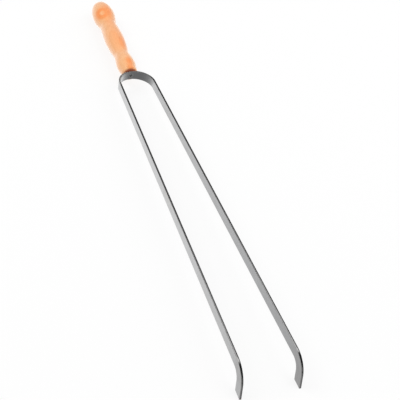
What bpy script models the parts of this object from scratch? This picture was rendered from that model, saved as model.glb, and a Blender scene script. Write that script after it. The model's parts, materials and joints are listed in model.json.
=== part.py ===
"""Long two-armed spring tongs with a turned wooden handle.

One flat steel strip stands on its edge. Its middle is bent into a small bow, its two straight arms
spread slightly, and the end of each arm is bent down, edgewise, into a hook with a square-cut end.
A countersunk wood screw holds the handle on the outside of the bow.

The tool's own frame has its origin at the centre of the bow, with the handle towards +Y, the arms
towards -Y and the strip's width along Z. The empty "tool" lays that frame on the ground, so that the
two hook ends and the handle's knob touch z = 0. The empty "seat" holds the handle and its screw,
which were fitted by hand a little left of the bow's middle and a little askew.
"""
import math

import bmesh
import bpy
from mathutils import Matrix, Vector

# ---------------------------------------------------------------- driving dimensions, metres, radians
GAP = 0.0003                            # clearance between pieces that touch

STRIP_WIDTH = 0.010
STRIP_THICKNESS = 0.002
STRIP_EDGE = 0.0003                     # chamfer that stands for the rolled edge
BOW_RADIUS = 0.020                      # to the middle of the thickness
ARM_SPLAY = math.radians(1.1)           # each arm, away from the tool's axis
ARM_STRAIGHT = 0.3839                   # from the bow's end to where the hook starts to bend
HOOK_RADIUS = 0.0155                    # to the middle of the width
HOOK_TURN = math.radians(75)
HOOK_DROP = 0.0222                      # from the middle of the width to the middle of the cut end

HANDLE_SHIFT = -0.0020                  # sideways place of the handle's axis, level with the bow's centre
HANDLE_TURN = math.radians(0.65)        # towards +X
HANDLE_END = 0.0213                     # bow end of the handle
HANDLE_TIP = 0.1683
HANDLE_END_RADIUS = 0.0090
HANDLE_EDGE = 0.0037                    # rounding of the bow end's rim
# Places where the turned outline is level, along the handle's axis: distance from the bow's centre, radius.
HANDLE_SWELLS = [
    (0.0394, 0.0107),                   # flare behind the bow
    (0.0579, 0.0089),                   # neck
    (0.0902, 0.0115),                   # belly
    (0.1198, 0.0099),                   # waist
    (0.1422, 0.0132),                   # knob
]
COVE_POWER = 0.8                        # under 1 makes the coves tight and the swells full
DOME_POWER = 2.1                        # 2 is an ellipse, more is blunter

SCREW_LENGTH = 0.040
SCREW_RADIUS = 0.00175                  # over the thread
SCREW_CORE = 0.00120
SCREW_HEAD_RADIUS = 0.0035
SCREW_RIM = 0.0002                      # thickness of the head at its edge
SCREW_BEVEL = 0.0001                    # broken edge of the head's face
SCREW_SINK = 0.0001                     # how far the face sits proud of the strip's inner side
SCREW_PITCH = 0.0016
THREAD_ROOT = (0.2, 0.7)                # share of a pitch where the thread's root starts and ends
THREAD_RUNOUT = 0.0004
SCREW_PLAIN = 0.010                     # head and plain shank, before the thread
SCREW_POINT = 0.004
RECESS_WIDTH = 0.0009
RECESS_SPAN = 0.0042
RECESS_DEPTH = 0.0013
RECESS_ABOVE = 0.001                    # how far the cutting plug starts above the head's face
RECESS_TURN = math.radians(20)          # where the screw came to rest as it was driven home
RECESS_TAPERS = (1.35, 0.55)            # span of the plug at its top and at its point, as a share
PILOT_EXTRA = 0.001                     # depth of the pilot hole beyond the screw's point
DRILL_FRONT = 0.004                     # how far the countersink's cutter reaches before the head's face
DRILL_BACK = 0.006                      # and behind it

BOW_STEPS = 48
HOOK_STEPS = 18
STRAIGHT_STEPS = 6
HANDLE_SIDES = 48
SCREW_SIDES = 24
SWELL_STEPS = 7                         # rows between two level places of the handle
DOME_STEPS = 9

# ---------------------------------------------------------------- worked out from them
HALF_THICKNESS = STRIP_THICKNESS / 2
HALF_WIDTH = STRIP_WIDTH / 2
BOW_END = Vector((BOW_RADIUS * math.cos(ARM_SPLAY), BOW_RADIUS * math.sin(ARM_SPLAY), 0))
HOOK_TAIL = (HOOK_DROP - HOOK_RADIUS * (1 - math.cos(HOOK_TURN))) / math.sin(HOOK_TURN)
FOOT_REACH = ARM_STRAIGHT + HOOK_RADIUS * math.sin(HOOK_TURN) + HOOK_TAIL * math.cos(HOOK_TURN)
FOOT_Y = BOW_END.y - FOOT_REACH * math.cos(ARM_SPLAY)
KNOB_Y, KNOB_RADIUS = HANDLE_SWELLS[-1]
TILT = math.atan2(HOOK_DROP - KNOB_RADIUS, KNOB_Y - FOOT_Y)
LIFT = HOOK_DROP * math.cos(TILT) + FOOT_Y * math.sin(TILT)
SCREW_FACE_Y = BOW_RADIUS - HALF_THICKNESS - SCREW_SINK
HOLE_RADIUS = SCREW_RADIUS + GAP


def ground_height(y):
    """Height of the ground in the tool's own frame, at a place along its axis."""
    return (y * math.sin(TILT) - LIFT) / math.cos(TILT)


# ---------------------------------------------------------------- materials
def material(name, colour, metallic, roughness):
    made = bpy.data.materials.new(name)
    made.use_nodes = True
    shader = made.node_tree.nodes["Principled BSDF"]
    shader.inputs["Base Color"].default_value = (*colour, 1)
    shader.inputs["Metallic"].default_value = metallic
    shader.inputs["Roughness"].default_value = roughness
    return made


# ---------------------------------------------------------------- mesh helpers
def add_object(name, bm, surface, parent, location=(0, 0, 0)):
    """Turns a bmesh into a smooth-shaded object, placed in the tool's frame."""
    bmesh.ops.recalc_face_normals(bm, faces=bm.faces)
    mesh = bpy.data.meshes.new(name)
    bm.to_mesh(mesh)
    bm.free()
    mesh.shade_smooth()
    mesh.set_sharp_from_angle(angle=math.radians(35))
    mesh.materials.append(surface)
    made = bpy.data.objects.new(name, mesh)
    made.parent = parent
    made.location = location
    bpy.context.scene.collection.objects.link(made)
    return made


def loft(rings):
    """Closed solid through rings of points that all have the same count."""
    bm = bmesh.new()
    rows = [[bm.verts.new(point) for point in ring] for ring in rings]
    for row, next_row in zip(rows, rows[1:]):
        for i in range(len(row)):
            j = (i + 1) % len(row)
            bm.faces.new((row[i], row[j], next_row[j], next_row[i]))
    bm.faces.new(rows[0])
    bm.faces.new(reversed(rows[-1]))
    return bm


def turned(profile, sides):
    """Solid of revolution about the Y axis. A profile point is (y, radius), and a radius of 0 is a pole."""
    bm = bmesh.new()
    rows = []
    for y, radius in profile:
        if radius == 0:
            rows.append([bm.verts.new((0, y, 0))])
            continue
        angles = [2 * math.pi * i / sides for i in range(sides)]
        rows.append([bm.verts.new((radius * math.cos(a), y, radius * math.sin(a))) for a in angles])
    for row, next_row in zip(rows, rows[1:]):
        for i in range(sides):
            j = (i + 1) % sides
            corners = [row[i % len(row)], row[j % len(row)]]
            corners += [next_row[j % len(next_row)], next_row[i % len(next_row)]]
            bm.faces.new(list(dict.fromkeys(corners)))
    return bm


def arc_points(centre, radius, start, end, steps):
    """Points of an arc in the profile plane, angles from the +Y axis towards larger radii."""
    cy, cr = centre
    angles = [start + (end - start) * i / steps for i in range(steps + 1)]
    return [(cy + radius * math.cos(a), cr + radius * math.sin(a)) for a in angles]


def cut(target, cutter):
    cutter.hide_render = True
    cutter.display_type = "WIRE"
    boolean = target.modifiers.new("cut_by_" + cutter.name, "BOOLEAN")
    boolean.operation = "DIFFERENCE"
    boolean.solver = "EXACT"
    boolean.object = cutter


# ---------------------------------------------------------------- steel strip
def strip_section(centre, across, upright):
    """Eight-sided outline of the strip: across is the thickness direction, upright the width direction."""
    thin, wide = HALF_THICKNESS, HALF_WIDTH
    quarter = [(thin, wide - STRIP_EDGE), (thin - STRIP_EDGE, wide)]
    outline = quarter + [(-a, b) for a, b in reversed(quarter)]
    outline += [(-a, -b) for a, b in outline]
    return [centre + across * a + upright * b for a, b in outline]


def bow_rings():
    start = ARM_SPLAY + GAP / 2 / BOW_RADIUS
    rings = []
    for i in range(BOW_STEPS + 1):
        angle = start + (math.pi - 2 * start) * i / BOW_STEPS
        outward = Vector((math.cos(angle), math.sin(angle), 0))
        rings.append(strip_section(outward * BOW_RADIUS, outward, Vector((0, 0, 1))))
    return rings


def down_to_ground(point, onward):
    """Where a line from a point of the arm, measured from the bow's end, meets the ground."""
    above = point.z - ground_height(BOW_END.y + point.y)
    return point + onward * (above / (onward.y * math.tan(TILT) - onward.z))


def arm_rings(side):
    """Sections of one arm, from the bow's end to the cut end, measured from the bow's end."""
    along = Vector((side * math.sin(ARM_SPLAY), -math.cos(ARM_SPLAY), 0))
    across = Vector((side * math.cos(ARM_SPLAY), math.sin(ARM_SPLAY), 0))
    up = Vector((0, 0, 1))
    first = GAP / 2
    rings = []
    for i in range(STRAIGHT_STEPS):
        distance = first + (ARM_STRAIGHT - first) * i / STRAIGHT_STEPS
        rings.append(strip_section(along * distance, across, up))
    for i in range(HOOK_STEPS + 1):
        turn = HOOK_TURN * i / HOOK_STEPS
        outward = along * math.sin(turn) + up * math.cos(turn)
        centre = along * ARM_STRAIGHT - up * HOOK_RADIUS + outward * HOOK_RADIUS
        rings.append(strip_section(centre, across, outward))
    onward = along * math.cos(HOOK_TURN) - up * math.sin(HOOK_TURN)
    rings.append([down_to_ground(point, onward) for point in rings[-1]])
    return rings


# ---------------------------------------------------------------- turned profiles
def swell_radius(r0, r1, t):
    """Radius on the smooth way from one level place to the next, with the tighter curve at the narrow one."""
    from_cove = t if r1 > r0 else 1 - t
    u = from_cove ** COVE_POWER
    return min(r0, r1) + abs(r1 - r0) * u * u * (3 - 2 * u)


def handle_profile():
    """Outline of the handle from the bottom of its pilot hole, out of the bow end and on to the tip."""
    hole_bottom = SCREW_FACE_Y + SCREW_LENGTH + PILOT_EXTRA
    profile = [(hole_bottom, 0), (hole_bottom - HOLE_RADIUS, HOLE_RADIUS), (HANDLE_END, HOLE_RADIUS)]
    rim = (HANDLE_END + HANDLE_EDGE, HANDLE_END_RADIUS - HANDLE_EDGE)
    profile += arc_points(rim, HANDLE_EDGE, math.pi, math.pi / 2, 4)
    level = [(HANDLE_END + HANDLE_EDGE, HANDLE_END_RADIUS)] + HANDLE_SWELLS
    for (y0, r0), (y1, r1) in zip(level, level[1:]):
        for i in range(1, SWELL_STEPS + 1):
            t = i / SWELL_STEPS
            profile.append((y0 + (y1 - y0) * t, swell_radius(r0, r1, t)))
    for i in range(1, DOME_STEPS + 1):
        angle = math.pi / 2 * i / DOME_STEPS
        y = KNOB_Y + (HANDLE_TIP - KNOB_Y) * math.sin(angle) ** (2 / DOME_POWER)
        radius = KNOB_RADIUS * math.cos(angle) ** (2 / DOME_POWER)
        profile.append((y, radius if i < DOME_STEPS else 0))
    return profile


def screw_profile():
    """Outline of the wood screw from the middle of its head to its point, measured from the head's face."""
    cone_end = SCREW_RIM + SCREW_HEAD_RADIUS - SCREW_RADIUS
    profile = [(0, 0), (0, SCREW_HEAD_RADIUS - SCREW_BEVEL), (SCREW_RIM, SCREW_HEAD_RADIUS)]
    profile += [(cone_end, SCREW_RADIUS), (SCREW_PLAIN, SCREW_RADIUS)]
    thread_end = SCREW_LENGTH - SCREW_POINT
    turns = round((thread_end - SCREW_PLAIN) / SCREW_PITCH)
    for i in range(turns):
        start = SCREW_PLAIN + SCREW_PITCH * i
        profile += [(start + share * SCREW_PITCH, SCREW_CORE) for share in THREAD_ROOT]
        profile += [(start + SCREW_PITCH, SCREW_RADIUS)]
    profile += [(SCREW_PLAIN + SCREW_PITCH * turns + THREAD_RUNOUT, SCREW_CORE), (SCREW_LENGTH, 0)]
    return profile


def countersink_profile():
    """Outline of the hole that takes the screw through the strip, measured from the head's face."""
    mouth = SCREW_HEAD_RADIUS + GAP
    profile = [(-DRILL_FRONT, 0), (-DRILL_FRONT, mouth), (SCREW_RIM, mouth)]
    profile += [(SCREW_RIM + mouth - HOLE_RADIUS, HOLE_RADIUS), (DRILL_BACK, HOLE_RADIUS), (DRILL_BACK, 0)]
    return profile


def cross_recess(seat, surface):
    """Cross-shaped plug that narrows towards its point, as deep as the driver goes."""
    bm = bmesh.new()
    half = RECESS_WIDTH / 2
    rings = []
    for y, taper in zip((-RECESS_ABOVE, RECESS_DEPTH), RECESS_TAPERS):
        reach = RECESS_SPAN / 2 * taper
        ring = []
        for quarter in range(4):
            turn = Matrix.Rotation(RECESS_TURN + math.pi / 2 * quarter, 3, "Y")
            for corner in ((reach, -half), (reach, half), (half, half)):
                ring.append(bm.verts.new(turn @ Vector((corner[0], y, -corner[1]))))
        rings.append(ring)
    near, far = rings
    for i in range(len(near)):
        j = (i + 1) % len(near)
        bm.faces.new((near[i], near[j], far[j], far[i]))
    bm.faces.new(near)
    bm.faces.new(reversed(far))
    bmesh.ops.recalc_face_normals(bm, faces=bm.faces)
    return add_object("cutter_recess", bm, surface, seat, (0, SCREW_FACE_Y, 0))


# ---------------------------------------------------------------- the tool
def lay_on_ground(tool, pieces):
    """Centres the tool over the origin, with its hook ends and knob on z = 0."""
    tool.rotation_euler = (-TILT, 0, 0)
    tool.location = (0, 0, LIFT)
    bpy.context.view_layer.update()
    along = [(piece.matrix_world @ vertex.co).y for piece in pieces for vertex in piece.data.vertices]
    tool.location.y = -(min(along) + max(along)) / 2
    bpy.context.view_layer.update()


def main():
    for old in list(bpy.data.objects):
        bpy.data.objects.remove(old)

    steel = material("strip_steel", (0.56, 0.57, 0.58), 1.0, 0.32)
    screw_steel = material("screw_steel", (0.50, 0.51, 0.52), 1.0, 0.38)
    wood = material("handle_wood", (0.83, 0.47, 0.20), 0.0, 0.35)

    tool = bpy.data.objects.new("tool", None)
    bpy.context.scene.collection.objects.link(tool)
    seat = bpy.data.objects.new("seat", None)
    seat.parent = tool
    seat.location.x = HANDLE_SHIFT
    seat.rotation_euler.z = -HANDLE_TURN
    bpy.context.scene.collection.objects.link(seat)

    bow = add_object("bow", loft(bow_rings()), steel, tool)
    right_arm = add_object("right_arm", loft(arm_rings(1)), steel, tool, BOW_END)
    left_end = (-BOW_END.x, BOW_END.y, 0)
    left_arm = add_object("left_arm", loft(arm_rings(-1)), steel, tool, left_end)
    handle = add_object("handle", turned(handle_profile(), HANDLE_SIDES), wood, seat)
    screw_place = (0, SCREW_FACE_Y, 0)
    screw = add_object("handle_screw", turned(screw_profile(), SCREW_SIDES), screw_steel, seat, screw_place)

    sink = turned(countersink_profile(), SCREW_SIDES)
    cut(bow, add_object("cutter_countersink", sink, steel, seat, screw_place))
    cut(screw, cross_recess(seat, screw_steel))

    lay_on_ground(tool, [bow, right_arm, left_arm, handle, screw])


main()
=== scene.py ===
"""Looks of the two-armed spring tongs: sprung steel strip, turned beech handle, wood screw."""

import json
import math

import bmesh
import bpy
import numpy as np
from mathutils import Matrix, Vector

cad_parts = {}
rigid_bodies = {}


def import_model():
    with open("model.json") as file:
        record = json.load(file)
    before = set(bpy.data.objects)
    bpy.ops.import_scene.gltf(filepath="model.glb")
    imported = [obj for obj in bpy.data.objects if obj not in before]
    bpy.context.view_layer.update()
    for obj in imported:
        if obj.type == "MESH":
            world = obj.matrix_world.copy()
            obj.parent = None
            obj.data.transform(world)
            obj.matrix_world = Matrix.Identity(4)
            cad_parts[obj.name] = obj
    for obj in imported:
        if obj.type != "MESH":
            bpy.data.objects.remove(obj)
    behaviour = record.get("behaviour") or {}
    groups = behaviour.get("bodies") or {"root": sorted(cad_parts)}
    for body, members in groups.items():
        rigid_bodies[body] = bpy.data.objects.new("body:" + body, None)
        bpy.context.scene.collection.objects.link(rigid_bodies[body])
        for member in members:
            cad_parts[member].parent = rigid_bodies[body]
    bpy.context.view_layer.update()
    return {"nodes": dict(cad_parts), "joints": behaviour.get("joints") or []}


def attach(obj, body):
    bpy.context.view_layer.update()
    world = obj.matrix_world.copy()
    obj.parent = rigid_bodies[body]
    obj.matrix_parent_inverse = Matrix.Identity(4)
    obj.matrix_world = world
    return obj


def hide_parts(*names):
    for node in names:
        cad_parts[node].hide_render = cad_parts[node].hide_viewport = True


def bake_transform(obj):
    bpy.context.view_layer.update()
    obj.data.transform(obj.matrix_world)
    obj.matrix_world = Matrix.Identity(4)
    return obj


for old in list(bpy.data.objects):
    bpy.data.objects.remove(old)
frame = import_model()

# ---------------------------------------------------------------- dimensions, metres, the same as the CAD's
STRIP_WIDTH = 0.010
STRIP_THICKNESS = 0.002
STRIP_ROUND = 0.0002                    # radius of the strip's corners
STRIP_CROWN = math.radians(16)          # how far its narrow sides turn over, from their middle to a corner
BOW_RADIUS = 0.020
ARM_SPLAY = math.radians(1.1)
ARM_STRAIGHT = 0.3839                   # from the bow's end to where the hook starts to bend
HOOK_RADIUS = 0.0155
HOOK_TURN = math.radians(75)
FOOT_CHAMFER = 0.00022                  # broken edge round the cut end
SEAM = math.radians(45)                 # where an arm's strip meets the bow's, from the X axis

HANDLE_SHIFT = -0.0020                  # the handle sits a little left of the bow's middle
HANDLE_TURN = math.radians(0.65)        # and a little askew
HANDLE_END = 0.0213
HANDLE_TIP = 0.1683
HANDLE_END_RADIUS = 0.0090
HANDLE_EDGE = 0.0037                    # rounding of the bow end's rim
# middles of the swells and of the coves between them: distance from the bow's centre, radius
HANDLE_SWELLS = [(0.0394, 0.0107), (0.0579, 0.0089), (0.0902, 0.0115), (0.1198, 0.0099), (0.1422, 0.0132)]
COVE_POWER = 0.8                        # below 1, a cove is narrower than a swell
DOME_POWER = 2.1                        # above 2, the tip is fuller than an ellipse
PILOT_RADIUS = 0.00205
PILOT_BOTTOM = 0.0599
PILOT_CHAMFER = 0.0004
SCREW_FACE = 0.0189                     # place of the screw head's face
HEAD_ROOM = 0.0036                      # radius of the countersink's mouth, close round the head
MOUTH_DEPTH = 0.0002                    # the mouth keeps that radius this far past the head's face
DRILL_BEFORE, DRILL_PAST = 0.004, 0.006  # how far the drill reaches either way from the head's face

HALF_THICKNESS = STRIP_THICKNESS / 2
HALF_WIDTH = STRIP_WIDTH / 2
CROWN_RADIUS = STRIP_ROUND + (HALF_THICKNESS - STRIP_ROUND) / math.sin(STRIP_CROWN)
CROWN_CENTRE = HALF_WIDTH - CROWN_RADIUS
CORNER_CENTRE = (HALF_THICKNESS - STRIP_ROUND,
                 CROWN_CENTRE + (CROWN_RADIUS - STRIP_ROUND) * math.cos(STRIP_CROWN))

# how finely things are divided
FLAT_STEPS, CORNER_STEPS, CROWN_STEPS = 3, 5, 5         # over half a broad side, a corner, half a narrow side
BOW_STEPS, ARM_STEPS, HOOK_STEPS = 32, 60, 32           # along an arm's share of the bow, the arm, its hook
RIM_STEPS, SWELL_STEPS, DOME_STEPS = 8, 20, 24          # along the handle's rim, from cove to swell, its dome
END_RINGS = (0.35, 0.7)                 # rings on the handle's flat end, as shares of the way to its rim
HANDLE_SIDES = 96
DRILL_SIDES = 64
SKIN_AGREES = 0.97                      # cosine above which a cut face still belongs to the strip's skin
SHARP_TURN = math.radians(30)            # edges that turn more than this are shaded sharp
TINY = 1e-9

UP = np.array((0.0, 0.0, 1.0))


# ---------------------------------------------------------------- the tool's own frame, from the CAD's joints
def tool_frame():
    """Axes and origin of the tool's frame: origin at the bow's centre, handle +Y, strip's width Z."""
    joints = {joint["child"]: joint for joint in frame["joints"]}
    left, right = (Vector(joints[name]["pos_m"]) for name in ("left_arm", "right_arm"))
    up = Vector(joints["left_arm"]["axis"]).normalized()
    x_axis = Vector((1, 0, 0))
    y_axis = up.cross(x_axis)
    origin = (left + right) / 2 - y_axis * (BOW_RADIUS * math.sin(ARM_SPLAY))
    return Matrix((x_axis, y_axis, up)).transposed().to_4x4(), origin


AXES, ORIGIN = tool_frame()
TOOL = Matrix.Translation(ORIGIN) @ AXES
SEAT = Matrix.Translation((HANDLE_SHIFT, 0, 0)) @ Matrix.Rotation(-HANDLE_TURN, 4, "Z")
TURN = np.array(AXES.to_3x3())


def to_world(points):
    return np.asarray(points) @ TURN.T + np.array(ORIGIN)


# ---------------------------------------------------------------- mesh helpers
def in_scene(name, data):
    made = bpy.data.objects.new(name, data)
    bpy.context.scene.collection.objects.link(made)
    return made


def plain_object(name, verts, faces):
    mesh = bpy.data.meshes.new(name)
    mesh.from_pydata(np.asarray(verts, float).tolist(), [], faces)
    bm = bmesh.new()
    bm.from_mesh(mesh)
    bmesh.ops.recalc_face_normals(bm, faces=bm.faces)
    bm.to_mesh(mesh)
    bm.free()
    return in_scene(name, mesh)


def spun(profile, sides):
    """Verts, faces of a solid turned about the tool's Y axis; profile rows are (y, radius)."""
    verts, rows, faces = [], [], []
    for y, radius in profile:
        if radius < TINY:
            rows.append([len(verts)])
            verts.append((0, y, 0))
            continue
        rows.append(list(range(len(verts), len(verts) + sides)))
        turns = [2 * math.pi * i / sides for i in range(sides)]
        verts += [(radius * math.cos(a), y, radius * math.sin(a)) for a in turns]
    for row, after in zip(rows, rows[1:]):
        for i in range(sides):
            j = (i + 1) % sides
            ring = (row[i % len(row)], row[j % len(row)], after[j % len(after)], after[i % len(after)])
            faces.append(list(dict.fromkeys(ring)))
    return verts, faces


def set_lay(mesh, lay):
    """Keeps each point's place on the piece in rest, for the material to read."""
    laid = mesh.attributes.new("lay", "FLOAT_VECTOR", "POINT")
    laid.data.foreach_set("vector", np.asarray(lay, np.float32).ravel())


# ---------------------------------------------------------------- steel strip
def section_outline():
    """Closed outline of the strip as rows of (thickness, width, normal thickness, normal width)."""
    turn_over = math.pi / 2 - STRIP_CROWN
    quarter = [(HALF_THICKNESS, CORNER_CENTRE[1] * i / FLAT_STEPS, 1.0, 0.0) for i in range(FLAT_STEPS)]
    for i in range(CORNER_STEPS + 1):
        n = (math.cos(turn_over * i / CORNER_STEPS), math.sin(turn_over * i / CORNER_STEPS))
        quarter.append((CORNER_CENTRE[0] + STRIP_ROUND * n[0], CORNER_CENTRE[1] + STRIP_ROUND * n[1], *n))
    for i in range(1, CROWN_STEPS + 1):
        a = turn_over + STRIP_CROWN * i / CROWN_STEPS
        n = (math.cos(a), math.sin(a))
        quarter.append((CROWN_RADIUS * n[0], CROWN_CENTRE + CROWN_RADIUS * n[1], *n))
    half = quarter + [(-t, w, -nt, nw) for t, w, nt, nw in reversed(quarter[:-1])]
    return np.array(half + [(t, -w, nt, -nw) for t, w, nt, nw in reversed(half[1:-1])])


def section_normal(thick, wide):
    """Normal of the strip's skin, as (thickness, width), for points of its outline."""
    out_t, out_w = np.abs(thick) - CORNER_CENTRE[0], np.abs(wide) - CORNER_CENTRE[1]
    corner = np.stack([np.maximum(out_t, 0), np.maximum(out_w, 0)], 1)
    crown = np.stack([np.abs(thick), np.abs(wide) - CROWN_CENTRE], 1)
    on_crown = (out_w > 0) & (np.abs(thick) < crown[:, 1] * math.tan(STRIP_CROWN))
    normal = np.where(on_crown[:, None], crown, corner)
    normal /= np.maximum(np.hypot(*normal.T), TINY)[:, None]
    return normal * np.stack([np.sign(thick), np.sign(wide)], 1)


SECTION = section_outline()


def sweep(stations, caps):
    """Strip through stations (centre, across, upright, distance), closed by caps, (station, normal).

    Gives its points, faces, normals (one per face corner) and lay (one per point).
    """
    verts, vert_normals, lay = [], [], []
    for centre, across, upright, distance in stations:
        for thick, wide, normal_t, normal_w in SECTION:
            verts.append(centre + across * thick + upright * wide)
            vert_normals.append(across * normal_t + upright * normal_w)
            lay.append((distance, thick, wide))
    count = len(SECTION)
    faces, normals = [], []
    for i in range(len(stations) - 1):
        for k in range(count):
            j = (k + 1) % count
            corners = [i * count + k, i * count + j, (i + 1) * count + j, (i + 1) * count + k]
            faces.append(corners)
            normals += [vert_normals[c] for c in corners]
    for station, toward in caps:
        faces.append([station * count + k for k in range(count)])
        normals += [toward] * count
    return verts, faces, normals, lay


def oriented(verts, faces, normals):
    """Turns each face so that its winding agrees with its corner normals."""
    verts, turned_faces, turned_normals, at = np.asarray(verts, float), [], [], 0
    for face in faces:
        own = normals[at:at + len(face)]
        at += len(face)
        ring = verts[face]
        winding = np.cross(ring, np.roll(ring, -1, 0)).sum(0)
        if winding @ np.asarray(own).sum(0) < 0:
            face, own = face[::-1], own[::-1]
        turned_faces.append(face)
        turned_normals += list(own)
    return verts, turned_faces, turned_normals


def strip_object(name, verts, faces, normals, lay, surface):
    """Object from points, corner normals and lay in the tool's frame."""
    mesh = bpy.data.meshes.new(name)
    mesh.from_pydata(to_world(verts).tolist(), [], faces)
    mesh.shade_smooth()
    mesh.normals_split_custom_set((np.asarray(normals) @ TURN.T).tolist())
    set_lay(mesh, lay)
    mesh.materials.append(surface)
    return in_scene(name, mesh)


def bow_station(angle):
    outward = np.array((math.cos(angle), math.sin(angle), 0.0))
    return outward * BOW_RADIUS, outward, UP, (math.pi / 2 - angle) * BOW_RADIUS


def arm_stations(side, along):
    """Stations of one arm: its share of the bow from the seam on, its straight, and its hook's bend."""
    mirror = np.array((side, 1.0, 1.0))
    stations = []
    for i in range(BOW_STEPS + 1):
        centre, across, upright, distance = bow_station(SEAM + (ARM_SPLAY - SEAM) * i / BOW_STEPS)
        stations.append((centre * mirror, across * mirror, upright, distance))
    bow_end, across, _, at_end = stations[-1]
    for i in range(1, ARM_STEPS):
        reach = ARM_STRAIGHT * i / ARM_STEPS
        stations.append((bow_end + along * reach, across, UP, at_end + reach))
    pivot = bow_end + along * ARM_STRAIGHT - UP * HOOK_RADIUS
    for i in range(HOOK_STEPS + 1):
        turn = HOOK_TURN * i / HOOK_STEPS
        outward = along * math.sin(turn) + UP * math.cos(turn)
        distance = at_end + ARM_STRAIGHT + turn * HOOK_RADIUS
        stations.append((pivot + outward * HOOK_RADIUS, across, outward, distance))
    return stations


def to_floor(point, onward, above):
    """Where a line along the hook's tail, in the tool's frame, comes to a height above the floor."""
    height = point @ TURN[2] + ORIGIN.z - above
    return point - onward * (height / (onward @ TURN[2]))


def add_foot(verts, faces, normals, lay, station, onward):
    """Takes an open strip on to just above the floor, then in by the broken edge to the cut end."""
    centre, across, outward, distance = station
    count = len(SECTION)
    start = len(verts) - count
    for inset, above in ((0, FOOT_CHAMFER), (FOOT_CHAMFER, 0)):
        for thick, wide, normal_t, normal_w in SECTION:
            point = centre + across * (thick - inset * normal_t) + outward * (wide - inset * normal_w)
            landed = to_floor(point, onward, above)
            verts.append(landed)
            lay.append((distance + np.linalg.norm(landed - point), thick, wide))
    side_normals = [across * row[2] + outward * row[3] for row in SECTION]
    for ring in range(2):
        for k in range(count):
            j = (k + 1) % count
            here, after = start + ring * count, start + (ring + 1) * count
            faces.append([here + k, here + j, after + j, after + k])
            for c in (k, j, j, k):
                slanted = side_normals[c] - TURN[2] * ring
                normals.append(slanted / np.linalg.norm(slanted))
    faces.append([start + 2 * count + k for k in range(count)])
    normals += [-TURN[2]] * count


def arm_strip(name, side, surface):
    """One arm with its share of the bow, from the seam to the cut end of the hook, in one piece."""
    along = np.array((side * math.sin(ARM_SPLAY), -math.cos(ARM_SPLAY), 0.0))
    stations = arm_stations(side, along)
    seam_normal = np.array((-side * math.sin(SEAM), math.cos(SEAM), 0.0))
    verts, faces, normals, lay = sweep(stations, [(0, seam_normal)])
    add_foot(verts, faces, normals, lay, stations[-1], along * math.cos(HOOK_TURN) - UP * math.sin(HOOK_TURN))
    verts, faces, normals = oriented(verts, faces, normals)
    lay = [(side * distance, thick, wide) for distance, thick, wide in lay]
    made = strip_object(name, verts, faces, normals, lay, surface)
    body = name.replace("strip_", "") + "_arm"
    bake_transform(made)
    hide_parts(body)


def drilled(blank):
    """Mesh of the bow's blank with the screw's countersunk hole in it."""
    mouth = SCREW_FACE + MOUTH_DEPTH
    before, past = SCREW_FACE - DRILL_BEFORE, SCREW_FACE + DRILL_PAST
    drill = [(before, 0), (before, HEAD_ROOM), (mouth, HEAD_ROOM),
             (mouth + HEAD_ROOM - PILOT_RADIUS, PILOT_RADIUS), (past, PILOT_RADIUS), (past, 0)]
    cutter = plain_object("bow_drill", *spun(drill, DRILL_SIDES))
    cutter.matrix_world = SEAT
    hole = blank.modifiers.new("hole", "BOOLEAN")
    hole.operation, hole.solver, hole.object = "DIFFERENCE", "EXACT", cutter
    cut = bpy.data.meshes.new_from_object(blank.evaluated_get(bpy.context.evaluated_depsgraph_get()))
    bpy.data.objects.remove(cutter)
    return cut


def bow_strip(name, surface):
    """The middle of the bow, with its countersunk hole."""
    steps = 2 * BOW_STEPS
    stations = [bow_station(SEAM + (math.pi - 2 * SEAM) * i / steps) for i in range(steps + 1)]
    caps = [(0, (math.sin(SEAM), -math.cos(SEAM), 0.0)), (steps, (-math.sin(SEAM), -math.cos(SEAM), 0.0))]
    blank = plain_object("bow_blank", *sweep(stations, caps)[:2])
    cut = drilled(blank)
    bpy.data.objects.remove(blank)
    verts = np.array([v.co for v in cut.vertices])
    faces = [list(p.vertices) for p in cut.polygons]
    angle = np.arctan2(verts[:, 1], verts[:, 0])
    thick = np.hypot(verts[:, 0], verts[:, 1]) - BOW_RADIUS
    lay = np.stack([(math.pi / 2 - angle) * BOW_RADIUS, thick, verts[:, 2]], 1)
    normal_t, normal_w = section_normal(thick, verts[:, 2]).T
    skin = np.stack([np.cos(angle) * normal_t, np.sin(angle) * normal_t, normal_w], 1)
    normals = []
    for polygon in cut.polygons:
        own = np.array(polygon.normal)
        for v in polygon.vertices:
            normals.append(skin[v] if skin[v] @ own > SKIN_AGREES else own)
    made = strip_object(name, verts, faces, normals, lay, surface)
    bpy.data.meshes.remove(cut)
    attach(made, "root")
    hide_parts("bow")


# ---------------------------------------------------------------- handle
def swell_radius(r0, r1, t):
    from_cove = t if r1 > r0 else 1 - t
    u = from_cove ** COVE_POWER
    return min(r0, r1) + abs(r1 - r0) * u * u * (3 - 2 * u)


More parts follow.
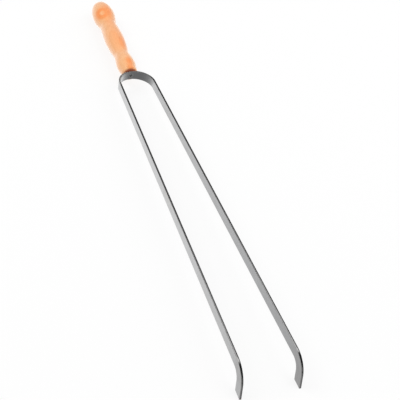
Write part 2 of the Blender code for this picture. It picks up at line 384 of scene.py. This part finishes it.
def handle_profile():
    """Outline of the handle from the bottom of its pilot hole, out of the bow end and on to the tip."""
    profile = [(PILOT_BOTTOM, 0), (PILOT_BOTTOM - PILOT_RADIUS, PILOT_RADIUS),
               (HANDLE_END + PILOT_CHAMFER, PILOT_RADIUS), (HANDLE_END, PILOT_RADIUS + PILOT_CHAMFER)]
    flat = HANDLE_END_RADIUS - HANDLE_EDGE
    profile += [(HANDLE_END, PILOT_RADIUS + (flat - PILOT_RADIUS) * share) for share in END_RINGS]
    for i in range(RIM_STEPS + 1):
        a = math.pi / 2 * i / RIM_STEPS
        profile.append((HANDLE_END + HANDLE_EDGE * (1 - math.cos(a)), flat + HANDLE_EDGE * math.sin(a)))
    level = [(HANDLE_END + HANDLE_EDGE, HANDLE_END_RADIUS)] + HANDLE_SWELLS
    for (y0, r0), (y1, r1) in zip(level, level[1:]):
        for i in range(1, SWELL_STEPS + 1):
            t = i / SWELL_STEPS
            profile.append((y0 + (y1 - y0) * t, swell_radius(r0, r1, t)))
    knob_y, knob_r = HANDLE_SWELLS[-1]
    for i in range(1, DOME_STEPS):
        a = math.pi / 2 * i / DOME_STEPS
        profile.append((knob_y + (HANDLE_TIP - knob_y) * math.sin(a) ** (2 / DOME_POWER),
                        knob_r * math.cos(a) ** (2 / DOME_POWER)))
    return profile + [(HANDLE_TIP, 0)]


def turned_handle(name, surface):
    made = plain_object(name, *spun(handle_profile(), HANDLE_SIDES))
    mesh = made.data
    mesh.shade_smooth()
    mesh.set_sharp_from_angle(angle=SHARP_TURN)
    set_lay(mesh, [v.co for v in mesh.vertices])
    cut_grain = mesh.attributes.new("end_grain", "FLOAT", "POINT")
    cut_grain.data.foreach_set("value", [abs(v.normal.y) for v in mesh.vertices])
    mesh.transform(TOOL @ SEAT)
    mesh.materials.append(surface)
    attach(made, "root")
    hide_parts("handle")


# ---------------------------------------------------------------- node helpers
class Graph:
    """Short way to add linked nodes to a tree."""

    def __init__(self, tree):
        self.tree = tree

    def fill(self, socket, value):
        if isinstance(value, bpy.types.NodeSocket):
            self.tree.links.new(value, socket)
        else:
            socket.default_value = value

    def node(self, kind, ins=None, **settings):
        made = self.tree.nodes.new("ShaderNode" + kind)
        for key, value in settings.items():
            setattr(made, key, value)
        for key, value in (ins or {}).items():
            self.fill(made.inputs[key], value)
        return made

    def attribute(self, name, output="Vector"):
        return self.node("Attribute", attribute_name=name).outputs[output]

    def parts(self, vector):
        made = self.node("SeparateXYZ", {0: vector})
        return [made.outputs[i] for i in range(3)]

    def scaled(self, vector, scale, rotation=(0, 0, 0), location=(0, 0, 0)):
        ins = {"Vector": vector, "Scale": scale, "Rotation": rotation, "Location": location}
        return self.node("Mapping", ins).outputs["Vector"]

    def noise(self, vector, scale, detail=2.0, rough=0.5, **placing):
        """Noise over a vector, with so many grains per metre in each direction."""
        ins = {"Vector": self.scaled(vector, scale, **placing), "Scale": 1.0,
               "Detail": detail, "Roughness": rough}
        return self.node("TexNoise", ins).outputs["Fac"]

    def math(self, operation, a, b=0.0):
        return self.node("Math", {0: a, 1: b}, operation=operation).outputs[0]

    def times(self, a, b):
        return self.math("MULTIPLY", a, b)

    def plus(self, a, b):
        return self.math("ADD", a, b)

    def minus(self, a, b):
        return self.math("SUBTRACT", a, b)

    def absolute(self, a):
        return self.math("ABSOLUTE", a)

    def most(self, a, b):
        return self.math("MAXIMUM", a, b)

    def vector(self, operation, a, b=(0, 0, 0)):
        made = self.node("VectorMath", {0: a, 1: b}, operation=operation)
        return made.outputs["Value" if operation in ("DOT_PRODUCT", "LENGTH", "DISTANCE") else "Vector"]

    def ramp(self, value, low, high, to_low=0.0, to_high=1.0, kind="SMOOTHSTEP"):
        ins = {"Value": value, "From Min": low, "From Max": high, "To Min": to_low, "To Max": to_high}
        return self.node("MapRange", ins, interpolation_type=kind).outputs["Result"]

    def band(self, value, rise, fall, top=1.0):
        """Up from 0 over the span rise, and down to 0 again over the span fall."""
        return self.times(self.ramp(value, *rise), self.ramp(value, *fall, top, 0.0))

    def mix(self, colour, tint, amount, mask=None):
        """A colour taken toward a tint by an amount, or by that much of a mask."""
        factor = amount if mask is None else self.times(mask, amount)
        made = self.node("Mix", data_type="RGBA")
        self.fill(made.inputs[0], factor)
        for socket, value in ((made.inputs[6], colour), (made.inputs[7], tint)):
            self.fill(socket, (*value, 1) if isinstance(value, tuple) else value)
        return made.outputs[2]

    def bump(self, height, distance, strength, below=None):
        ins = {"Height": height, "Distance": distance, "Strength": strength}
        if below is not None:
            ins["Normal"] = below
        return self.node("Bump", ins).outputs["Normal"]


SOCKETS = {"sheen": "Sheen Weight", "sheen_rough": "Sheen Roughness", "sheen_tint": "Sheen Tint",
           "coat": "Coat Weight", "coat_rough": "Coat Roughness", "coat_ior": "Coat IOR",
           "specular": "Specular IOR Level", "glow": "Emission Color", "glow_strength": "Emission Strength"}


def new_material(name, colour, metallic, roughness, **more):
    """Material, graph and shader; more sets further sockets of the shader, by their keys above."""
    made = bpy.data.materials.new(name)
    made.use_nodes = True
    shader = made.node_tree.nodes["Principled BSDF"]
    shader.inputs["Base Color"].default_value = (*colour, 1)
    shader.inputs["Metallic"].default_value = metallic
    shader.inputs["Roughness"].default_value = roughness
    for key, value in more.items():
        shader.inputs[SOCKETS[key]].default_value = value
    return made, Graph(made.node_tree), shader


def surface_links(graph, shader, colour, rough, relief):
    for key, value in (("Base Color", colour), ("Roughness", rough), ("Normal", relief)):
        graph.tree.links.new(value, shader.inputs[key])


# ---------------------------------------------------------------- strip's material
MILL_DARK, MILL_LIGHT = (0.535, 0.54, 0.545), (0.60, 0.603, 0.605)
OIL_FILM = (0.50, 0.475, 0.44)
# painted shade: grey for the broad sides inside the bow and the arms
INSIDE_SHADE = (0.44, 0.445, 0.45)
SCRATCHED = (0.74, 0.74, 0.74)
WORN_EDGE = (0.64, 0.64, 0.64)
# painted shade: darker grey for all narrow sides
NARROW_SIDE_SHADE = (0.40, 0.395, 0.39)
# painted shade toward the hooks' ends on the inside and at their bends
HOOK_SHADE = (0.42, 0.415, 0.41)
# painted shade: near black on the narrow sides where a hook bends
BEND_EDGE_SHADE = (0.10, 0.10, 0.105)
# painted shade: dark on the right half of the narrow sides along the arms
SCALE = (0.12, 0.12, 0.12)
# painted highlight: pale on the left half of the narrow sides along the arms
NEAR_EDGE_HIGHLIGHT = (0.92, 0.91, 0.90)
# painted highlight: near white on the narrow sides at the left of the bow
BOW_HIGHLIGHT = (0.92, 0.90, 0.88)

# spans across the strip, from its middle, in which an edge wears and a narrow side begins
EDGE_SPAN = (HALF_WIDTH - 0.0009, HALF_WIDTH - 0.0001)
NARROW_SPAN = (HALF_WIDTH - 0.00026, HALF_WIDTH - 0.00014)
# spans along the strip, from the middle of the bow; a hook bends from 0.415 to 0.435
HOOK_BEND = ((0.412, 0.418), (0.430, 0.436))
# span of the painted shade on the narrow sides at a hook's bend
BEND_SHADE_SPAN = ((0.4185, 0.4215), (0.4275, 0.4315))
# span of the painted highlight at the left of the bow
LEFT_BOW_HIGHLIGHT_SPAN = ((-0.038, -0.028), (-0.014, -0.006))
TOWARD_HOOK = (0.37, 0.44)
BEFORE_HOOK = (0.40, 0.412)
# span of the painted shade inside the hooks' tails
INSIDE_TAIL_SHADE = (0.415, 0.432)
FAR_FROM_BOW = (0.09, 0.24)


def strip_figure(g, lay):
    """Mill lines along the bar, the cloud and patches of its oil film, and its scratches."""
    coarse = g.noise(lay, (22, 2600, 2600), detail=3.0, rough=0.6)
    fine = g.noise(lay, (90, 9000, 9000), rough=0.6)
    lines = g.plus(g.times(coarse, 0.65), g.times(fine, 0.35))
    cloud = g.noise(lay, (70, 160, 160), detail=4.0, rough=0.6)
    patch = g.noise(lay, (16, 40, 40), detail=3.0, location=(3, 1, 2))
    flat = g.noise(lay, (60, 400, 2600), detail=1.0, rotation=(0, 0.16, 0))
    steep = g.noise(lay, (45, 300, 2200), detail=1.0, rotation=(0, -0.3, 0), location=(1, 5, 2))
    scratch = g.most(g.ramp(flat, 0.715, 0.745), g.ramp(steep, 0.73, 0.76))
    return lines, cloud, patch, scratch


def broad_side_colour(g, reach, inside, worn, lines, patch, scratch):
    """Rolled steel under an oil film; painted shade makes it greyer inside the bow and the arms."""
    steel = g.mix(MILL_DARK, MILL_LIGHT, g.ramp(lines, 0.3, 0.7))
    steel = g.mix(steel, OIL_FILM, g.ramp(patch, 0.45, 0.75, 0.0, 0.35))
    # painted shade inside the U, deeper toward the hooks
    greyer_outward = g.ramp(reach, 0.03, 0.42, 0.42, 0.95, "LINEAR")
    steel = g.mix(steel, INSIDE_SHADE, greyer_outward, inside)
    steel = g.mix(steel, SCRATCHED, 0.45, scratch)
    return g.mix(steel, WORN_EDGE, 0.3, worn)


def hook_colour(g, steel, reach, inside):
    """Painted shade: darker toward the hooks' ends on the inside, and at the bend all round."""
    inside_tail_shade = g.times(g.ramp(reach, *INSIDE_TAIL_SHADE, 0.15, 0.5), inside)
    hook_shade_mask = g.most(inside_tail_shade, g.times(g.band(reach, *HOOK_BEND), 0.4))
    return g.mix(steel, HOOK_SHADE, g.ramp(reach, *BEFORE_HOOK), hook_shade_mask)


def narrow_side_colour(g, steel, along, reach, thick, narrow, bow_highlight):
    """Painted shade where a hook bends; along the arms, painted shade on the right half and a painted
    highlight on the left half; a painted highlight at the left of the bow.
    """
    # painted shade on the narrow sides at the hook's bend
    steel = g.mix(steel, BEND_EDGE_SHADE, g.band(reach, *BEND_SHADE_SPAN, top=0.85), narrow)
    rightward = g.times(thick, g.math("SIGN", along))
    beyond = g.times(narrow, g.ramp(reach, *FAR_FROM_BOW))
    # painted shade on the right half of the narrow sides
    steel = g.mix(steel, SCALE, g.ramp(rightward, 0.0, 0.0007, 0.0, 0.85), beyond)
    # painted highlight on their left half
    steel = g.mix(steel, NEAR_EDGE_HIGHLIGHT, g.ramp(rightward, -0.0008, 0.0001, 0.8, 0.0), beyond)
    # painted highlight at the left of the bow
    return g.mix(steel, BOW_HIGHLIGHT, bow_highlight)


def strip_roughness(g, cloud, lines, used, worn, narrow, bow_highlight):
    rough = g.ramp(cloud, 0.25, 0.75, 0.25, 0.36, "LINEAR")
    rough = g.plus(rough, g.times(g.minus(lines, 0.5), 0.16))
    rough = g.plus(rough, g.times(used, 0.05))
    rough = g.minus(rough, g.times(worn, 0.05))
    # rougher under the bow's painted highlight
    rough = g.plus(rough, g.times(bow_highlight, 0.35))
    return g.minus(rough, g.times(g.times(used, narrow), 0.15))


def strip_relief(g, lay, lines, scratch):
    """Mill lines with the scratches cut into them, over shallow dents."""
    height = g.plus(lines, g.times(scratch, -0.6))
    dents = g.noise(lay, (120, 300, 300), location=(9, 4, 7))
    return g.bump(dents, 0.00003, 0.5, g.bump(height, 0.000012, 0.8))


def strip_material():
    """Cold-rolled flat bar. Its lay is distance from the bow's middle (left negative), depth and width."""
    made, g, shader = new_material("cold_rolled_strip", (0.56, 0.565, 0.57), 1.0, 0.3)
    lay = g.attribute("lay")
    along, thick, wide = g.parts(lay)
    reach = g.absolute(along)
    lines, cloud, patch, scratch = strip_figure(g, lay)
    inside = g.ramp(thick, -0.0008, -0.0002, 1.0, 0.0)
    worn = g.times(g.ramp(g.absolute(wide), *EDGE_SPAN), g.ramp(cloud, 0.4, 0.62))
    narrow = g.ramp(g.absolute(wide), *NARROW_SPAN)
    used = g.ramp(reach, *TOWARD_HOOK)
    # painted highlight on the narrow sides, at the left of the bow only
    bow_highlight = g.times(g.band(along, *LEFT_BOW_HIGHLIGHT_SPAN), narrow)
    steel = broad_side_colour(g, reach, inside, worn, lines, patch, scratch)
    # painted shade on the narrow sides
    steel = g.mix(steel, NARROW_SIDE_SHADE, 0.3, narrow)
    steel = hook_colour(g, steel, reach, inside)
    steel = narrow_side_colour(g, steel, along, reach, thick, narrow, bow_highlight)
    rough = strip_roughness(g, cloud, lines, used, worn, narrow, bow_highlight)
    surface_links(g, shader, steel, rough, strip_relief(g, lay, lines, scratch))
    return made


# ---------------------------------------------------------------- handle's material
PALE, LATE_WOOD, LATE_LINE = (0.87, 0.46, 0.215), (0.85, 0.40, 0.16), (0.70, 0.26, 0.075)
# warm orange of the heartwood, also used as painted shade next to the bow end
HEART_AND_SHADE = (0.86, 0.25, 0.045)
STREAK, FIBRE, FLECK = (0.76, 0.38, 0.15), (0.70, 0.31, 0.10), (0.52, 0.20, 0.06)
# SHADED_END is painted shade: deep red-brown on the flat end next to the bow
END_GRAIN, SHADED_END = (0.62, 0.25, 0.09), (0.34, 0.06, 0.015)
SHEEN_TINT = (1, 0.97, 0.95, 1)

KNOB_EYE = Vector((-0.0056, 0.1331, 0.0109))            # middle of the figure on the knob
OUT_OF_EYE = Vector((-0.45, -0.17, 0.88)).normalized()
PITH_DEPTH = 0.060                                      # the tree's middle, this far below the eye
GRAIN_AXIS = Vector((0.03, 1.0, 0.14)).normalized()     # the grain runs a little askew to the handle
RING_WIDTH = 0.0021
RING_PHASE = 0.18
RING_WAVER = 0.0022
# warm patches: place in the handle's own frame, reach, strength; heartwood, and the two nearest the bow end
# are also painted shade where the handle meets the bow
HEARTWOOD_AND_SHADE = [((0.0, 0.0225, 0.0088), 0.0060, 1.0), ((0.0010, 0.0330, 0.0101), 0.0058, 1.0),
             ((0.0036, 0.0720, 0.0098), 0.0100, 0.85), ((0.0020, 0.0800, 0.0113), 0.0190, 0.45),
             ((0.0015, 0.1180, 0.0100), 0.0130, 0.45), ((0.0012, 0.1345, 0.0125), 0.0095, 1.0),
             ((0.0015, 0.1450, 0.0130), 0.0090, 0.4)]
PATCH_STRETCH = (1.0, 0.45, 1.0)                        # they are longer along the grain
PATCH_CORE = 0.15                                       # share of the reach that has the full strength
LATHE_LINES = 2600.0                                    # per metre


def growth_rings(g, lay, warp):
    """Wide tone and thin line of each year's ring: cylinders about the pith, cut by the turning."""
    from_pith = g.vector("SUBTRACT", lay, tuple(KNOB_EYE - OUT_OF_EYE * PITH_DEPTH))
    along = g.vector("DOT_PRODUCT", from_pith, tuple(GRAIN_AXIS))
    on_axis = g.node("VectorMath", {0: tuple(GRAIN_AXIS), 3: along}, operation="SCALE").outputs["Vector"]
    depth = g.minus(PITH_DEPTH, g.vector("LENGTH", g.vector("SUBTRACT", from_pith, on_axis)))
    depth = g.plus(depth, g.times(g.minus(warp, 0.5), RING_WAVER))
    ring = g.math("FRACT", g.plus(g.math("DIVIDE", depth, RING_WIDTH), RING_PHASE))
    return g.band(ring, (0.05, 0.55), (0.62, 0.95)), g.band(ring, (0.40, 0.60), (0.62, 0.72))


def heart_and_shade(g, lay, warp):
    """Warm orange where the turning cuts into the heartwood: a ring round the eye, and the patches; next to
    the bow end it is painted shade.
    """
    from_eye = g.vector("DISTANCE", lay, tuple(KNOB_EYE))
    warmth = g.band(from_eye, (0.0018, 0.0045), (0.0065, 0.0125))
    for place, reach, strength in HEARTWOOD_AND_SHADE:
        away = g.vector("LENGTH", g.scaled(g.vector("SUBTRACT", lay, place), PATCH_STRETCH))
        warmth = g.most(warmth, g.ramp(away, reach * PATCH_CORE, reach, strength, 0.0))
    return g.times(warmth, g.ramp(warp, 0.25, 0.6, 0.75, 1.0))


def wood_colour(g, lay, place, end, fibre, fleck):
    warp = g.noise(lay, (55, 14, 55))
    late, line = growth_rings(g, lay, warp)
    streak = g.noise(lay, (420, 9, 420))
    at_bow = g.ramp(place, 0.04, 0.06, 1.0, 0.0)
    colour = g.mix(PALE, LATE_WOOD, 0.45, late)
    colour = g.mix(colour, LATE_LINE, 0.10, line)
    # heartwood, with painted shade next to the bow end
    colour = g.mix(colour, HEART_AND_SHADE, 0.95, heart_and_shade(g, lay, warp))
    colour = g.mix(colour, STREAK, g.ramp(streak, 0.35, 0.65, 0.0, 0.16))
    colour = g.mix(colour, FIBRE, g.ramp(fibre, 0.4, 0.7, 0.0, 0.18))
    colour = g.mix(colour, FLECK, 0.35, fleck)
    colour = g.mix(colour, END_GRAIN, 0.3, end)
    # painted shade on the flat end next to the bow
    return g.mix(colour, SHADED_END, 0.9, g.times(end, at_bow))


def wood_relief(g, place, fibre, fleck):
    """Fine lines left by the lathe, open fibres, and the flecks a little sunk."""
    ins = {"W": g.times(place, LATHE_LINES), "Scale": 1.0, "Detail": 2.0}
    turning = g.node("TexNoise", ins, noise_dimensions="1D").outputs["Fac"]
    height = g.plus(g.times(turning, 0.55), g.times(fibre, 0.35))
    return g.bump(g.minus(height, g.times(fleck, 0.4)), 0.00003, 0.6)


def wood_material():
    """Turned beech under clear lacquer. Its lay is the place in the handle's own frame."""
    made, g, shader = new_material(
        "turned_beech", (0.8, 0.42, 0.18), 0.0, 0.36, sheen=0.7, sheen_rough=0.45, sheen_tint=SHEEN_TINT,
        coat=0.55, coat_rough=0.16, coat_ior=1.5, specular=0.4)
    lay = g.attribute("lay")
    place = g.parts(lay)[1]
    end = g.ramp(g.attribute("end_grain", "Fac"), 0.62, 0.95)
    fibre = g.noise(lay, (1500, 28, 1500), detail=3.0, rough=0.6)
    fleck = g.ramp(g.noise(lay, (1300, 260, 1300), detail=1.0, location=(2, 7, 4)), 0.64, 0.70)
    colour = wood_colour(g, lay, place, end, fibre, fleck)
    rough = g.plus(g.ramp(fibre, 0.3, 0.7, 0.34, 0.46, "LINEAR"), g.times(end, 0.15))
    surface_links(g, shader, colour, rough, wood_relief(g, place, fibre, fleck))
    return made


# ---------------------------------------------------------------- screw's material
DRAWN, TARNISHED, GRIME = (0.66, 0.67, 0.68), (0.58, 0.57, 0.55), (0.24, 0.21, 0.18)


def screw_material():
    """Plain wood screw: drawn and tumbled steel, a little tarnished, with specks of grime."""
    made, g, shader = new_material("tumbled_screw", (0.6, 0.61, 0.62), 1.0, 0.4)
    place = g.node("TexCoord").outputs["Object"]
    grit = g.noise(place, (2200, 2200, 2200), detail=3.0)
    patch = g.noise(place, (420, 420, 420))
    colour = g.mix(DRAWN, TARNISHED, g.ramp(patch, 0.35, 0.7))
    colour = g.mix(colour, GRIME, g.ramp(grit, 0.62, 0.75, 0.0, 0.35))
    rough = g.ramp(grit, 0.3, 0.7, 0.32, 0.5, "LINEAR")
    surface_links(g, shader, colour, rough, g.bump(grit, 0.00002, 0.6))
    return made


# ---------------------------------------------------------------- floor, studio, camera
FLOOR_HALF = 6.0
FLOOR_DROP = 0.00005                    # keeps the floor clear of the feet
FLOOR_GREY = 0.12                       # low, so that shadows stay faint
FLOOR_GLOW = 0.845
BACKDROP = 0.94                         # the same as the floor beyond the lamps, so that no horizon shows
FILL = 0.79                             # even light on matt surfaces

# what polished surfaces see: broad glows (direction, sharpness, strength) over a low base
GLOWS = [((0.18, 0.79, -0.59), 3.4, 1.07), ((0.62, 0.52, -0.59), 12.0, 0.35)]
GLOW_BASE = 0.22
FRONT_GLOW = 0.2

# lamps: name, place, target, diameter, watts
LAMPS = [("key", (-1.3, 0.9, 1.7), (0, 0, 0), 1.2, 19.0),
         ("fill", (0.9, -0.6, 1.9), (0, 0, 0), 1.6, 9.0),
         ("side", (1.6, 0.5, 0.9), (0, 0.1, 0), 1.2, 6.0)]

CAMERA_TARGET = Vector((0.01115, -0.06623, 0.0133))
CAMERA_TURNS = (-29.096, 41.637, 14.605)                # azimuth, elevation, roll, in degrees
CAMERA_DISTANCE = 0.9034
CAMERA_LENS, CAMERA_SENSOR, CAMERA_CLIP = 82.373, 36, 0.01


def floor():
    surface, _, _ = new_material("paper_sweep", (FLOOR_GREY,) * 3, 0.0, 0.9, specular=0.1,
                                 glow=(1, 1, 1, 1), glow_strength=FLOOR_GLOW)
    mesh = bpy.data.meshes.new("floor")
    corners = [(-1, -1), (1, -1), (1, 1), (-1, 1)]
    mesh.from_pydata([(x * FLOOR_HALF, y * FLOOR_HALF, 0) for x, y in corners], [], [[0, 1, 2, 3]])
    mesh.materials.append(surface)
    made = in_scene("floor", mesh)
    made.location.z = -FLOOR_DROP
    made.visible_glossy = False


def gloss_light(g, toward):
    """Brightness of the studio by direction, as polished surfaces see it."""
    x, y, z = g.parts(toward)
    # the white sweep, brightest at the back and low, fading out above the horizon
    sweep_light = GLOW_BASE
    for direction, sharpness, strength in GLOWS:
        facing = g.vector("DOT_PRODUCT", toward, tuple(Vector(direction).normalized()))
        near = g.ramp(facing, -1.0, 1.0, kind="LINEAR")
        sweep_light = g.plus(sweep_light, g.times(g.math("POWER", near, sharpness), strength))
    sweep_light = g.times(sweep_light, g.ramp(z, -0.25, 0.12, 1.0, 0.04))
    sweep_light = g.times(sweep_light, g.ramp(z, -0.85, -0.58, 0.84, 1.0))
    # a panel overhead, laid out in the plane one metre up; the limit keeps it off the horizon
    over = g.most(z, 0.05)
    ahead, beside = g.math("DIVIDE", y, over), g.absolute(g.math("DIVIDE", x, over))
    panel = g.times(g.band(ahead, (0.04, 0.26), (0.6, 0.8)), g.ramp(beside, 0.7, 1.0, 0.8, 0.0))
    # a faint glow in front, above the horizon
    front = g.times(g.ramp(y, -0.92, -0.62, FRONT_GLOW, 0.0), g.ramp(z, 0.0, 0.15))
    return g.plus(g.plus(sweep_light, panel), front)


def studio_world():
    """Pale backdrop for the eye, even fill for matt surfaces, and the studio's brightness for the gloss."""
    world = bpy.data.worlds.new("studio")
    world.use_nodes = True
    world.node_tree.nodes.clear()
    g = Graph(world.node_tree)

    def light(strength):
        return g.node("Background", {"Color": (1, 1, 1, 1), "Strength": strength}).outputs[0]

    gloss = gloss_light(g, g.node("TexCoord").outputs["Generated"])
    path = g.node("LightPath").outputs
    lit = g.node("MixShader", {0: path["Is Glossy Ray"], 1: light(FILL), 2: light(gloss)}).outputs[0]
    lit = g.node("MixShader", {0: path["Is Camera Ray"], 1: lit, 2: light(BACKDROP)}).outputs[0]
    g.node("OutputWorld", {"Surface": lit})
    bpy.context.scene.world = world


def softbox(name, place, target, diameter, watts):
    """Round soft lamp for the matt surfaces and the floor; the gloss has the world instead."""
    data = bpy.data.lights.new(name, "AREA")
    data.shape = "DISK"
    data.size = diameter
    data.energy = watts
    made = in_scene(name, data)
    made.location = place
    made.rotation_euler = (Vector(target) - Vector(place)).to_track_quat("-Z", "Y").to_euler()
    made.visible_glossy = False


def camera():
    azimuth, elevation, roll = (math.radians(turn) for turn in CAMERA_TURNS)
    back = Vector((math.sin(azimuth) * math.cos(elevation), -math.cos(azimuth) * math.cos(elevation),
                   math.sin(elevation)))
    level = Vector((0, 0, 1)).cross(back).normalized()
    upright = back.cross(level)
    right = level * math.cos(roll) + upright * math.sin(roll)
    up = upright * math.cos(roll) - level * math.sin(roll)
    data = bpy.data.cameras.new("camera")
    data.sensor_width = CAMERA_SENSOR
    data.lens = CAMERA_LENS
    data.clip_start = CAMERA_CLIP
    made = in_scene("camera", data)
    turned = Matrix((right, up, back)).transposed().to_4x4()
    made.matrix_world = Matrix.Translation(CAMERA_TARGET + back * CAMERA_DISTANCE) @ turned
    bpy.context.scene.camera = made


# ---------------------------------------------------------------- the scene
strip_steel = strip_material()
arm_strip("strip_left", -1, strip_steel)
arm_strip("strip_right", 1, strip_steel)
bow_strip("strip_bow", strip_steel)
turned_handle("handle_turned", wood_material())
screw_object = frame["nodes"]["handle_screw"]
screw_steel = screw_material()
for material_slot in screw_object.material_slots:
    material_slot.material = screw_steel

floor()
studio_world()
for lamp in LAMPS:
    softbox(*lamp)
camera()
bpy.context.scene.view_settings.view_transform = "Standard"
